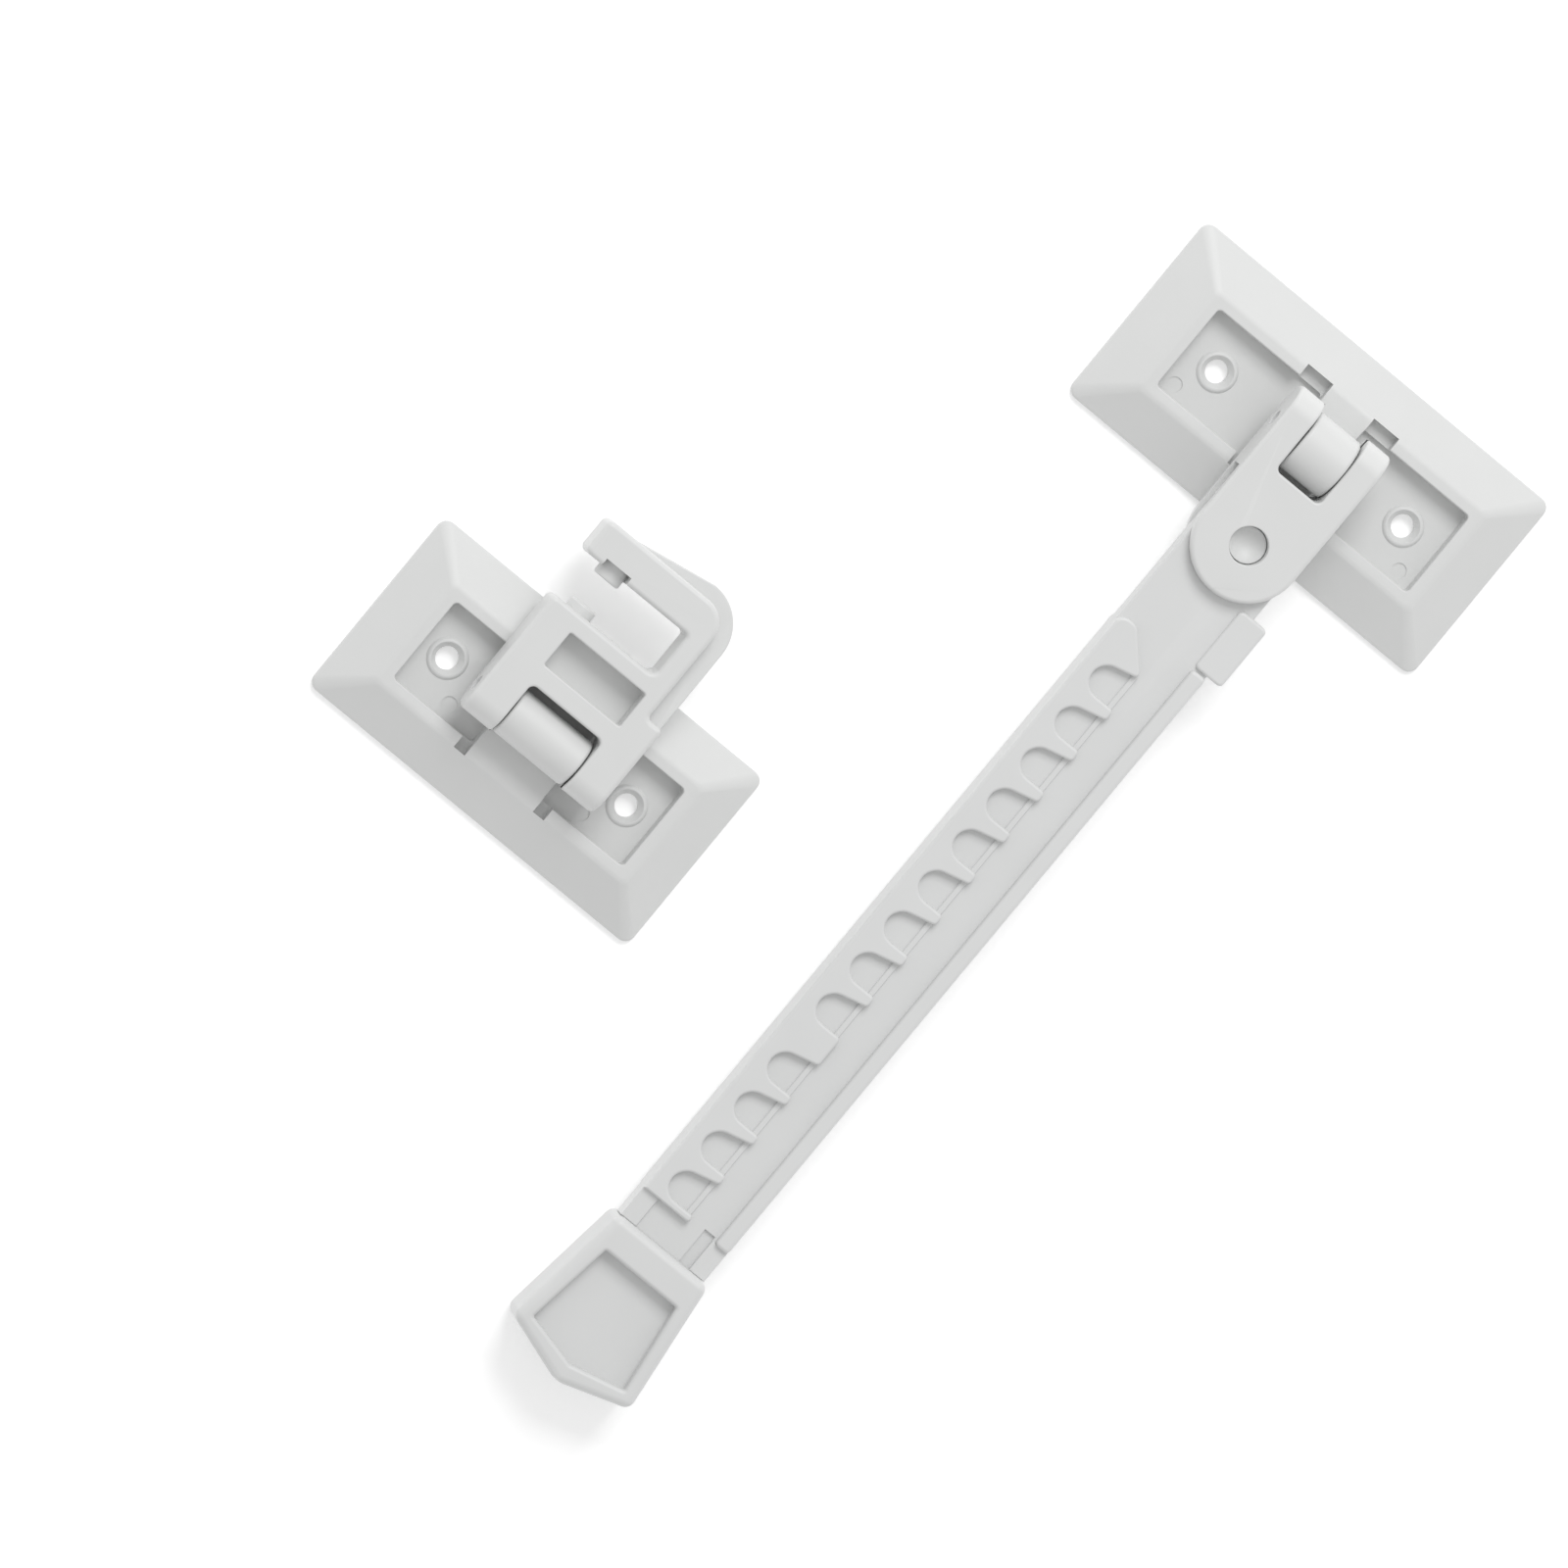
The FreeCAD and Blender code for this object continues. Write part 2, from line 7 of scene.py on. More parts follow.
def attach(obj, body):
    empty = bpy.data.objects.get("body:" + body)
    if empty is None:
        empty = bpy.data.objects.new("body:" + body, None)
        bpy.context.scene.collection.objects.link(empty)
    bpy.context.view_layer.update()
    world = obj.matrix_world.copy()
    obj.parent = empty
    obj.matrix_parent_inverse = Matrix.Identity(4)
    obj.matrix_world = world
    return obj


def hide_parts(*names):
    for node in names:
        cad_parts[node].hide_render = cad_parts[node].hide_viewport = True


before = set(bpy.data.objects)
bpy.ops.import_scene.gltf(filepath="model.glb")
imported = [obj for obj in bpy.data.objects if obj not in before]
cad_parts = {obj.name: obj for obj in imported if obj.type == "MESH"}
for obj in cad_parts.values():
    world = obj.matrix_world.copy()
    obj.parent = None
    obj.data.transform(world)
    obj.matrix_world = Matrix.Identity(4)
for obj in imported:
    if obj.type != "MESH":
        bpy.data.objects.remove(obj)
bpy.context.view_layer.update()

# Window restrictor stay: the visible pieces, modelled at the sizes of the CAD frame.
# Sizes below are in millimetres; block(), outline_block() and rod() turn them into metres.
# Each piece is modelled flat about its own hinge and then put in place in its mesh.

MM = 0.001

# ---- hinges ----
ARM_AXIS_HEIGHT = 13.3
ARM_DROOP = 1.653               # degrees
PIVOT_DISTANCE = 20.3
CATCH_HINGE = (-74.4, -125.4, 11.4)
HINGE_PIN_RADIUS = 1.6
PAST = 1.0                      # cutting pieces run this far past the face they cut

# ---- how edges are found, rounded and shaded ----
SHARP_FROM = math.radians(20)   # an edge this sharp or sharper can be rounded
SMOOTH_UP_TO = math.radians(28) # below the bevels of the bases, which stay crisp
FLAT_WITHIN = math.radians(0.3)
ALIGNED = 0.99                  # least share of an edge's direction along an axis
ROUNDING_MERGE = 0.000002       # metres
FINISHED_MERGE = 0.000003       # metres


# ---------------------------------------------------------------- tools of the bench

def deselect():
    if bpy.context.object and bpy.context.object.mode != "OBJECT":
        bpy.ops.object.mode_set(mode="OBJECT")
    bpy.ops.object.select_all(action="DESELECT")


def make_active(piece):
    deselect()
    piece.select_set(True)
    bpy.context.view_layer.objects.active = piece


def open_for_edit(piece, kind):
    make_active(piece)
    bpy.ops.object.mode_set(mode="EDIT")
    bpy.ops.mesh.select_mode(type=kind)
    bpy.ops.mesh.select_all(action="DESELECT")
    bpy.ops.object.mode_set(mode="OBJECT")


def select_faces(piece, wanted):
    open_for_edit(piece, "FACE")
    for face in piece.data.polygons:
        face.select = bool(wanted(face))
    bpy.ops.object.mode_set(mode="EDIT")


def select_edges(piece, wanted):
    """Select the sharp edges whose middle (mm) and direction suit."""
    open_for_edit(piece, "EDGE")
    bpy.ops.object.mode_set(mode="EDIT")
    bpy.ops.mesh.edges_select_sharp(sharpness=SHARP_FROM)
    bpy.ops.object.mode_set(mode="OBJECT")
    sharp = [edge.index for edge in piece.data.edges if edge.select]
    open_for_edit(piece, "EDGE")
    points = piece.data.vertices
    for index in sharp:
        edge = piece.data.edges[index]
        start, end = (points[corner].co for corner in edge.vertices)
        direction = (end - start).normalized()
        edge.select = bool(wanted((start + end) / 2 / MM, direction))
    bpy.ops.object.mode_set(mode="EDIT")


def round_edges(piece, radius, wanted, steps=6):
    select_edges(piece, wanted)
    bpy.ops.mesh.bevel(offset=radius * MM, segments=steps, profile=0.5, affect="EDGES")
    bpy.ops.mesh.select_all(action="SELECT")
    bpy.ops.mesh.remove_doubles(threshold=ROUNDING_MERGE)
    bpy.ops.object.mode_set(mode="OBJECT")
    return piece


def upright(middle, direction):
    return abs(direction.z) > ALIGNED


def crosswise(middle, direction):
    return abs(direction.x) > ALIGNED


def round_all(piece, radius, steps=4):
    return round_edges(piece, radius, lambda middle, direction: True, steps)


def round_rims(piece, radius, heights, steps=4, x_reach=1000.0, y_span=(-1000.0, 1000.0)):
    """Round the level edges at these heights, within a reach of the middle line."""
    return round_edges(piece, radius, lambda middle, direction: (
        abs(direction.z) < 0.05
        and min(abs(middle.z - height) for height in heights) < 0.02
        and abs(middle.x) < x_reach
        and y_span[0] < middle.y < y_span[1]
    ), steps)


def block(name, low, high):
    """A block between two corners, its place kept in its mesh."""
    deselect()
    middle = [(a + b) / 2 * MM for a, b in zip(low, high)]
    bpy.ops.mesh.primitive_cube_add(size=1, location=middle)
    piece = bpy.context.object
    piece.name = name
    piece.scale = [(b - a) * MM for a, b in zip(low, high)]
    bpy.ops.object.transform_apply(location=True, rotation=True, scale=True)
    return piece


def rod(name, radius, start, end, along="z", steps=64, end_radius=None):
    """A round rod or cone from start to end, both points on its middle line."""
    deselect()
    start, end = Vector(start) * MM, Vector(end) * MM
    turn = {"x": (0, math.pi / 2, 0), "y": (-math.pi / 2, 0, 0), "z": (0, 0, 0)}[along]
    bpy.ops.mesh.primitive_cone_add(
        vertices=steps, radius1=radius * MM,
        radius2=(radius if end_radius is None else end_radius) * MM,
        depth=(end - start).length, location=(start + end) / 2, rotation=turn,
    )
    piece = bpy.context.object
    piece.name = name
    bpy.ops.object.transform_apply(location=True, rotation=True, scale=True)
    return piece


def outline_block(name, corners, low, high, steps=6):
    """A flat outline pulled up into a block; each corner is (x, y, radius)."""
    deselect()
    bpy.ops.mesh.primitive_circle_add(vertices=len(corners), radius=0.01, fill_type="NGON")
    piece = bpy.context.object
    piece.name = name
    # The circle's corners are put on the outline, all in one turning direction.
    for vertex, (x, y, radius) in zip(piece.data.vertices, corners):
        vertex.co = (x * MM, y * MM, low * MM)
    select_faces(piece, lambda face: True)
    bpy.ops.mesh.extrude_region_move(TRANSFORM_OT_translate={"value": (0, 0, (high - low) * MM)})
    bpy.ops.mesh.select_all(action="SELECT")
    bpy.ops.mesh.normals_make_consistent(inside=False)
    bpy.ops.object.mode_set(mode="OBJECT")
    count = len(corners)
    for index, (x, y, radius) in enumerate(corners):
        if radius <= 0:
            continue
        here = Vector((x, y))
        before = Vector(corners[index - 1][:2]) - here
        after = Vector(corners[(index + 1) % count][:2]) - here
        tangent = radius / math.tan(before.angle(after) / 2)
        round_edges(piece, tangent, lambda middle, direction: (
            upright(middle, direction) and (middle.xy - here).length < 0.01
        ), steps)
    return piece


def combine(piece, others, how):
    for other in others:
        make_active(piece)
        work = piece.modifiers.new(how, "BOOLEAN")
        work.operation = how
        work.solver = "EXACT"
        work.object = other
        bpy.ops.object.modifier_apply(modifier=work.name)
        mesh = other.data
        bpy.data.objects.remove(other)
        bpy.data.meshes.remove(mesh)
    return piece


def cut(piece, *cutters):
    return combine(piece, cutters, "DIFFERENCE")


def join_on(piece, *others):
    return combine(piece, others, "UNION")


def shift(piece, x, y):
    make_active(piece)
    piece.location = (x * MM, y * MM, 0.0)
    bpy.ops.object.transform_apply(location=True, rotation=True, scale=True)
    return piece


def finish_skin(piece):
    """Merge what the joins left, and shade flats flat and rounded edges smooth."""
    open_for_edit(piece, "FACE")
    bpy.ops.object.mode_set(mode="EDIT")
    bpy.ops.mesh.select_all(action="SELECT")
    bpy.ops.mesh.remove_doubles(threshold=FINISHED_MERGE)
    bpy.ops.mesh.dissolve_limited(angle_limit=FLAT_WITHIN)
    bpy.ops.object.mode_set(mode="OBJECT")
    bpy.ops.object.shade_smooth_by_angle(angle=SMOOTH_UP_TO)
    flats = piece.modifiers.new("flats", "WEIGHTED_NORMAL")
    flats.keep_sharp = True
    flats.weight = 50
    bpy.ops.object.modifier_apply(modifier=flats.name)
    return piece


def place(piece, node, body, material, turn=None):
    """Put a finished piece where its CAD node is; its place and turn go into the mesh."""
    make_active(piece)
    if turn is not None:
        piece.data.transform(turn)
        piece.data.update()
    piece.data.materials.clear()
    piece.data.materials.append(material)
    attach(piece, body)
    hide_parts(node)


# ---------------------------------------------------------------- finishes

def add_socket(group, name, way, kind, value=None):
    socket = group.interface.new_socket(name=name, in_out=way, socket_type=kind)
    if value is not None:
        socket.default_value = value


def linked(tree, kind, settings=None, **inputs):
    """A node with its settings, its inputs given a value or linked to a socket."""
    node = tree.nodes.new(kind)
    for name, value in (settings or {}).items():
        setattr(node, name, value)
    for name, value in inputs.items():
        socket = node.inputs[int(name[1:])] if name[0] == "i" and name[1:].isdigit() else (
            node.inputs[name.replace("_", " ")]
        )
        if isinstance(value, bpy.types.NodeSocket):
            tree.links.new(value, socket)
        else:
            socket.default_value = value
    return node


def moulded_skin_group():
    """Fine tool-steel texture and slow waviness of a moulded face: a height and a mask."""
    group = bpy.data.node_groups.new("moulded_skin", "ShaderNodeTree")
    add_socket(group, "Place", "INPUT", "NodeSocketVector")
    add_socket(group, "Grain Scale", "INPUT", "NodeSocketFloat", 2600.0)
    add_socket(group, "Wave Scale", "INPUT", "NodeSocketFloat", 60.0)
    add_socket(group, "Height", "OUTPUT", "NodeSocketFloat")
    add_socket(group, "Mottle", "OUTPUT", "NodeSocketFloat")
    given = group.nodes.new("NodeGroupInput")
    result = group.nodes.new("NodeGroupOutput")
    grain = linked(
        group, "ShaderNodeTexNoise", Vector=given.outputs["Place"],
        Scale=given.outputs["Grain Scale"], Detail=3.0, Roughness=0.55,
    )
    wave = linked(
        group, "ShaderNodeTexNoise", Vector=given.outputs["Place"],
        Scale=given.outputs["Wave Scale"], Detail=2.0, Roughness=0.5,
    )
    height = linked(
        group, "ShaderNodeMath", {"operation": "MULTIPLY_ADD"},
        i0=wave.outputs["Fac"], i1=0.35, i2=grain.outputs["Fac"],
    )
    group.links.new(height.outputs[0], result.inputs["Height"])
    group.links.new(wave.outputs["Fac"], result.inputs["Mottle"])
    return group


def edge_highlight_and_rub_group():
    """Convex outer edges, broken up by noise: a mask from 0 to 1 that paints a highlight on them and
    lowers their roughness where hands and fittings rub them.
    """
    group = bpy.data.node_groups.new("edge_highlight_and_rub", "ShaderNodeTree")
    add_socket(group, "Place", "INPUT", "NodeSocketVector")
    add_socket(group, "Break Up Scale", "INPUT", "NodeSocketFloat", 240.0)
    add_socket(group, "Highlight And Wear", "OUTPUT", "NodeSocketFloat")
    given = group.nodes.new("NodeGroupInput")
    result = group.nodes.new("NodeGroupOutput")
    shape = group.nodes.new("ShaderNodeNewGeometry")
    edges = linked(
        group, "ShaderNodeMapRange", Value=shape.outputs["Pointiness"],
        From_Min=0.51, From_Max=0.58, To_Min=0.0, To_Max=1.0,
    )
    patches = linked(
        group, "ShaderNodeTexNoise", Vector=given.outputs["Place"],
        Scale=given.outputs["Break Up Scale"], Detail=3.0,
    )
    highlight_and_wear = linked(
        group, "ShaderNodeMath", {"operation": "MULTIPLY", "use_clamp": True},
        i0=edges.outputs["Result"], i1=patches.outputs["Fac"],
    )
    group.links.new(highlight_and_wear.outputs[0], result.inputs["Highlight And Wear"])
    return group


moulded_skin = moulded_skin_group()
edge_highlight_and_rub = edge_highlight_and_rub_group()


def use_group(tree, group, **inputs):
    node = tree.nodes.new("ShaderNodeGroup")
    node.node_tree = group
    for name, value in inputs.items():
        socket = node.inputs[name.replace("_", " ")]
        if isinstance(value, bpy.types.NodeSocket):
            tree.links.new(value, socket)
        else:
            socket.default_value = value
    return node


def two_tone(tree, mask, low, high):
    mix = tree.nodes.new("ShaderNodeMix")
    mix.data_type = "RGBA"
    tree.links.new(mask, mix.inputs["Factor"])
    mix.inputs["A"].default_value = (*low, 1)
    mix.inputs["B"].default_value = (*high, 1)
    return mix.outputs["Result"]


def moulded_white(name, low, high, rough_low, rough_high, grain_scale, pattern_shift):
    """White moulded plastic of one shot: a slow colour drift, satin skin, edges made smoother by
    rubbing and a painted highlight on the convex edges.
    """
    material = bpy.data.materials.new(name)
    material.use_nodes = True
    tree = material.node_tree
    surface = tree.nodes["Principled BSDF"]
    where = tree.nodes.new("ShaderNodeTexCoord").outputs["Object"]
    moved = linked(tree, "ShaderNodeMapping", Vector=where, Location=pattern_shift)
    skin = use_group(
        tree, moulded_skin, Place=moved.outputs["Vector"], Grain_Scale=grain_scale,
    )
    highlit_rubbed = use_group(tree, edge_highlight_and_rub, Place=moved.outputs["Vector"])
    drift = two_tone(tree, skin.outputs["Mottle"], low, high)
    # Painted highlight: the convex edges are painted 5 % lighter, standing in for the light their
    # rounding catches.
    painted_edge_highlight = tree.nodes.new("ShaderNodeMix")
    painted_edge_highlight.data_type = "RGBA"
    tree.links.new(highlit_rubbed.outputs["Highlight And Wear"], painted_edge_highlight.inputs["Factor"])
    tree.links.new(drift, painted_edge_highlight.inputs["A"])
    painted_edge_highlight.inputs["B"].default_value = (*[min(1.0, part * 1.05) for part in high], 1)
    tree.links.new(painted_edge_highlight.outputs["Result"], surface.inputs["Base Color"])
    satin = linked(
        tree, "ShaderNodeMapRange", Value=skin.outputs["Mottle"],
        From_Min=0.3, From_Max=0.7, To_Min=rough_low, To_Max=rough_high,
    )
    polished = linked(
        tree, "ShaderNodeMath", {"operation": "MULTIPLY_ADD"},
        i0=highlit_rubbed.outputs["Highlight And Wear"], i1=-0.12, i2=satin.outputs["Result"],
    )
    tree.links.new(polished.outputs[0], surface.inputs["Roughness"])
    bump = linked(tree, "ShaderNodeBump", Strength=0.16, Distance=0.00004)
    tree.links.new(skin.outputs["Height"], bump.inputs["Height"])
    tree.links.new(bump.outputs["Normal"], surface.inputs["Normal"])
    surface.inputs["IOR"].default_value = 1.53
    surface.inputs["Specular IOR Level"].default_value = 0.42
    return material


def drawn_steel(name):
    """Bright drawn wire: fine lines along the pin and a little dullness."""
    material = bpy.data.materials.new(name)
    material.use_nodes = True
    tree = material.node_tree
    surface = tree.nodes["Principled BSDF"]
    where = tree.nodes.new("ShaderNodeTexCoord").outputs["Object"]
    stretched = linked(tree, "ShaderNodeMapping", Vector=where, Scale=(0.05, 1.0, 1.0))
    skin = use_group(
        tree, moulded_skin, Place=stretched.outputs["Vector"],
        Grain_Scale=5200.0, Wave_Scale=900.0,
    )
    tone = two_tone(tree, skin.outputs["Mottle"], (0.52, 0.53, 0.55), (0.68, 0.69, 0.70))
    tree.links.new(tone, surface.inputs["Base Color"])
    surface.inputs["Metallic"].default_value = 1.0
    dull = linked(
        tree, "ShaderNodeMapRange", Value=skin.outputs["Mottle"],
        From_Min=0.3, From_Max=0.7, To_Min=0.24, To_Max=0.4,
    )
    tree.links.new(dull.outputs["Result"], surface.inputs["Roughness"])
    bump = linked(tree, "ShaderNodeBump", Strength=0.2, Distance=0.00002)
    tree.links.new(skin.outputs["Height"], bump.inputs["Height"])
    tree.links.new(bump.outputs["Normal"], surface.inputs["Normal"])
    return material


base_white = moulded_white(
    "base_white", (0.665, 0.67, 0.665), (0.695, 0.7, 0.695), 0.42, 0.52, 2600.0, (0.013, 0.0, 0.0),
)
bracket_white = moulded_white(
    "bracket_white", (0.675, 0.68, 0.675), (0.705, 0.71, 0.705), 0.40, 0.50, 2400.0, (0.0, 0.021, 0.0),
)
arm_white = moulded_white(
    "arm_white", (0.67, 0.675, 0.672), (0.7, 0.705, 0.702), 0.40, 0.50, 2400.0, (0.0, 0.0, 0.017),
)
cap_white = moulded_white(
    "cap_white", (0.665, 0.67, 0.667), (0.7, 0.705, 0.702), 0.42, 0.52, 2800.0, (0.03, 0.01, 0.0),
)
pin_steel = drawn_steel("pin_steel")


# ---------------------------------------------------------------- the two bases

def screw_on_base(
    name, length, width, bevel_run, lip_width, screw_spacing,
    barrel_width, barrel_radius, axis_height, notch_outer, mark_radius, mark_spacing, mark_offset,
):
    """Bevelled base with a sunk pocket each side of the saddle and a hinge barrel on it."""
    edge_height, lip_height, pocket_floor = 1.3, 6.2, 2.4
    hole_radius, ring_top = 2.15, pocket_floor + 0.5
    half_length, half_width = length / 2, width / 2
    base = block(name, (-half_length, -half_width, 0), (half_length, half_width, edge_height))
    round_edges(base, 2.0, upright)
    # The top face is pulled up and in, which makes the four bevels.
    select_faces(base, lambda face: face.normal.z > 0.9)
    bpy.ops.mesh.extrude_region_move(
        TRANSFORM_OT_translate={"value": (0, 0, (lip_height - edge_height) * MM)}
    )
    bpy.ops.transform.resize(
        value=((half_length - bevel_run) / half_length, (half_width - bevel_run) / half_width, 1),
        center_override=(0, 0, lip_height * MM),
    )
    bpy.ops.object.mode_set(mode="OBJECT")
    round_rims(base, 0.7, [lip_height], 4)
    round_rims(base, 0.4, [edge_height], 3)

    half_saddle = barrel_width / 2
    half_pocket = half_width - bevel_run - lip_width
    pocket_end = half_length - bevel_run - lip_width
    notch_reach = half_pocket + lip_width + 0.3
    for side in (-1, 1):
        near, far = sorted((side * half_saddle, side * pocket_end))
        pocket = block("pocket", (near, -half_pocket, pocket_floor), (far, half_pocket, axis_height))
        round_edges(pocket, 0.8, upright)
        near, far = sorted((side * half_saddle, side * notch_outer))
        notch = block("notch", (near, -notch_reach, 3.6), (far, notch_reach, axis_height))
        cut(base, pocket, notch)
    round_rims(
        base, 0.35, [lip_height], 3, pocket_end + 0.1, (-half_pocket - 0.1, half_pocket + 0.1)
    )
    for side in (-1, 1):
        x = side * screw_spacing / 2
        ring = rod("ring", 4.0, (x, 0, pocket_floor - 0.2), (x, 0, ring_top), end_radius=3.4)
        round_rims(ring, 0.3, [ring_top])
        join_on(base, ring)
        hole = rod("hole", hole_radius, (x, 0, -PAST), (x, 0, lip_height))
        dish = rod(
            "dish", hole_radius, (x, 0, pocket_floor - 0.4), (x, 0, ring_top), end_radius=3.0,
        )
        mark_x = side * mark_spacing / 2
        mark = rod(
            "mark", mark_radius, (mark_x, -mark_offset, pocket_floor - 0.2),
            (mark_x, -mark_offset, lip_height), steps=40,
        )
        cut(base, hole, dish, mark)
    half_post = barrel_radius - 0.5
    post = block(
        "post", (-half_saddle, -half_post, pocket_floor - 0.2), (half_saddle, half_post, axis_height)
    )
    round_edges(post, 0.6, upright, 4)
    barrel = rod(
        "barrel", barrel_radius, (-half_saddle, 0, axis_height), (half_saddle, 0, axis_height), "x", 96
    )
    round_all(barrel, 0.7)
    join_on(base, post, barrel)
    bore = rod(
        "bore", HINGE_PIN_RADIUS + 0.05, (-half_saddle - PAST, 0, axis_height),
        (half_saddle + PAST, 0, axis_height), "x", 48,
    )
    return finish_skin(cut(base, bore))


arm_base = screw_on_base(
    "screw_base_of_arm", length=80.0, width=39.2, bevel_run=8.6, lip_width=2.3, screw_spacing=43.3,
    barrel_width=9.5, barrel_radius=6.1, axis_height=ARM_AXIS_HEIGHT, notch_outer=10.55,
    mark_radius=1.4, mark_spacing=52.2, mark_offset=6.5,
)
catch_base = screw_on_base(
    "screw_base_of_catch", length=73.6, width=38.2, bevel_run=8.1, lip_width=2.3, screw_spacing=41.3,
    barrel_width=15.7, barrel_radius=4.7, axis_height=CATCH_HINGE[2], notch_outer=10.35,
    mark_radius=1.5, mark_spacing=30.4, mark_offset=6.1,
)
shift(catch_base, CATCH_HINGE[0], CATCH_HINGE[1])


# ---------------------------------------------------------------- fork, pins

def fork_bracket():
    """Ears round the barrel, and two legs with the slot for the arm between them."""
    half, reach, thick = 10.3, 7.5, 5.3
    far = -PIVOT_DISTANCE - half
    fork = block("fork_bracket", (-half, far, -thick), (half, reach, thick))
    round_edges(fork, half - 0.002, lambda middle, direction: (
        upright(middle, direction) and middle.y < far + 0.01
    ), 24)
    round_edges(fork, 4.6, lambda middle, direction: (
        crosswise(middle, direction) and middle.y > reach - 0.01
    ), 10)
    round_all(fork, 0.8)
    window = block("window", (-5.0, -7.0, -thick - PAST), (5.0, reach + PAST, thick + PAST))
    round_edges(window, 1.2, lambda middle, direction: (
        upright(middle, direction) and middle.y < -6.9
    ), 6)
    cut(fork, window)
    round_edges(fork, 0.45, lambda middle, direction: (
        abs(middle.x) < 5.05 and -7.05 < middle.y < reach and abs(middle.z) > 1.0
    ), 4)
    slot = block("slot", (-half - PAST, far - PAST, -2.8), (half + PAST, -10.3, 2.8))
    press = rod("press", 3.3, (0, -PIVOT_DISTANCE, -thick - PAST), (0, -PIVOT_DISTANCE, 0), "z", 64)
    free = rod("free", 3.5, (0, -PIVOT_DISTANCE, 0), (0, -PIVOT_DISTANCE, thick + PAST), "z", 64)
    cut(fork, slot, press, free)
    round_rims(fork, 0.3, [thick, -thick], 3, 3.7, (-PIVOT_DISTANCE - 3.7, -PIVOT_DISTANCE + 3.7))
    bore = rod("bore", HINGE_PIN_RADIUS, (-half - PAST, 0, 0), (half + PAST, 0, 0), "x", 48)
    return finish_skin(cut(fork, bore))


def pivot_pin():
    """Round pin whose upper end is dished by rings that step down a ball's curve."""
    radius, low, high, rim, depth = 3.3, -4.8, 3.3, 0.3, 1.2
    pin = rod("pivot_stud", radius, (0, -PIVOT_DISTANCE, low), (0, -PIVOT_DISTANCE, high), "z", 72)
    dish = radius - rim
    ball = (dish ** 2 + depth ** 2) / (2 * depth)
    select_faces(pin, lambda face: face.normal.z > 0.9 and len(face.vertices) > 8)
    bpy.ops.mesh.inset(thickness=rim * MM)
    rings = 9
    for ring in range(rings):
        outer, inner = (dish * (1 - step / (rings + 0.5)) for step in (ring, ring + 1))
        drop = math.sqrt(ball ** 2 - inner ** 2) - math.sqrt(ball ** 2 - outer ** 2)
        bpy.ops.mesh.inset(thickness=(outer - inner) * MM)
        bpy.ops.transform.translate(value=(0, 0, -drop * MM))
    bpy.ops.object.mode_set(mode="OBJECT")
    return finish_skin(pin)


def hinge_wire(name, bracket_width):
    """Wire pin with a small lead-in round both ends."""
    half = bracket_width / 2 - 0.6
    pin = rod(name, HINGE_PIN_RADIUS, (-half, 0, 0), (half, 0, 0), "x", 48)
    return finish_skin(round_all(pin, 0.3))


# ---------------------------------------------------------------- notched arm and its cap

ARM_HALF, ARM_THICK, WEB_HALF = 9.6, 4.4, 2.6
NOTCH_PLACES = [34.55 + 9.4 * number for number in range(9)]
NOTCH_PLACES += [NOTCH_PLACES[-1] + 13.4 + 9.1 * number for number in range(4)]
NOTCH_RADIUS = 3.05
TOOTH_TIPS, TOOTH_SEAT = -ARM_HALF + 10.1, -ARM_HALF + 2.8
RAIL_END = NOTCH_PLACES[-1] + NOTCH_RADIUS + 1.4
CAP_START = RAIL_END + 6.4
RIDGE_REACH = 4.2               # past the first and last notch, into their teeth
TOOTH_SLANT = 14                # degrees, on the side that faces the pivot
TOOTH_CORNER = 0.8
END_CORNER = 0.66               # on the narrow last tooth, whose flat top holds no more


def toothed_rail():
    """The rail's outline with its notches, pulled up to the arm's full thickness."""
    rise = (TOOTH_TIPS - TOOTH_SEAT) * math.tan(math.radians(TOOTH_SLANT))
    slanted = NOTCH_RADIUS * math.tan(math.radians(45 - TOOTH_SLANT / 2))
    seat_corner = NOTCH_RADIUS - 0.01
    corners = [(-ARM_HALF, -23.4, 1.8), (-ARM_HALF + 3.6, -23.4, 1.75)]
    for notch in NOTCH_PLACES:
        lower_corner = TOOTH_CORNER if notch < NOTCH_PLACES[-1] else END_CORNER
        corners.append((TOOTH_TIPS, slanted + rise - notch, TOOTH_CORNER))
        corners.append((TOOTH_SEAT, slanted - notch, seat_corner))
        corners.append((TOOTH_SEAT, -notch - NOTCH_RADIUS, seat_corner))
        corners.append((TOOTH_TIPS, -notch - NOTCH_RADIUS, lower_corner))
    corners.append((TOOTH_TIPS, -RAIL_END, END_CORNER))
    corners.append((-ARM_HALF, -RAIL_END, 0.0))
    rail = outline_block("rail", corners, -ARM_THICK, ARM_THICK, 7)
    return round_rims(rail, 0.55, [ARM_THICK, -ARM_THICK])


